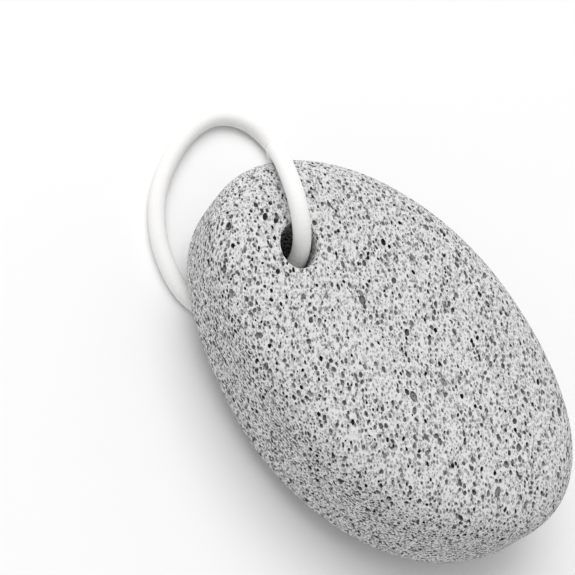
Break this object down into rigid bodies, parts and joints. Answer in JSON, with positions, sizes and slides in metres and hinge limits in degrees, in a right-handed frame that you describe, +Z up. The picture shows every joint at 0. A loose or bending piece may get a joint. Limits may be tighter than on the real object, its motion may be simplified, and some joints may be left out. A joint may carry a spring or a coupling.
{
  "type": "pumice stone",
  "caption": "Oval grey pumice stone for smoothing skin, pitted all over, with a bored hole near one end and a white cord loop through it.",
  "frame": {"origin": "centre of the stone's outline, on the surface that the stone lies on", "axes": "+X along the stone, away from the hole; +Y across it; +Z up through its thickness"},
  "size_m": [0.1189, 0.0663, 0.0384],
  "materials": {
    "pumice": "matt, open-pored",
    "cord": "soft white cotton cord"
  },
  "bodies": {
    "root": {"stone": "pumice", "cord_loop": "cord"}
  },
  "joints": []
}
